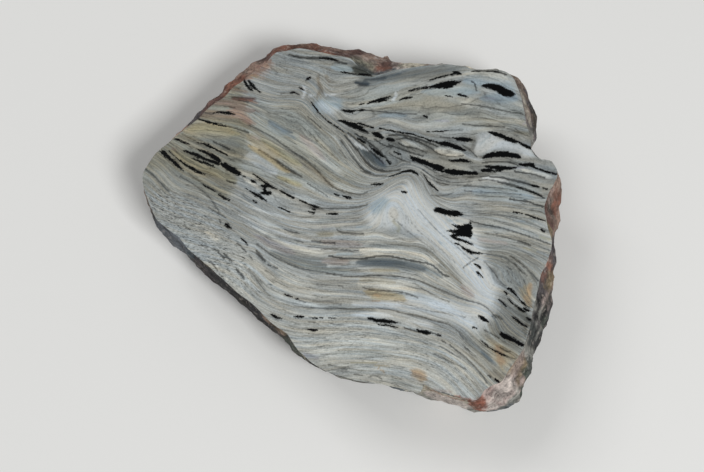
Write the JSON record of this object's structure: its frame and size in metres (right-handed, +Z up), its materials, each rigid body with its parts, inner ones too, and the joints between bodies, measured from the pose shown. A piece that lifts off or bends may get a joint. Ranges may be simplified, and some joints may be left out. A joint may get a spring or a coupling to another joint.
{
  "type": "stromatolite",
  "caption": "Slab of stromatolite: wavy banded grey chert with black lenses, one face sawn and polished, a broken rust-stained rim, lying on its sawn back.",
  "frame": {"origin": "middle of the stone's box in X and Y, on the surface that the sawn back rests on", "axes": "+Z up, square to the polished face, which is on top; +Y towards the stone's long rust-red upper edge; +X towards its broken right-hand end. The laminae run roughly along X."},
  "size_m": [0.2265, 0.2084, 0.045],
  "materials": {
    "banded_chert": "satin"
  },
  "bodies": {
    "root": {"stromatolite": "banded_chert"}
  },
  "joints": []
}
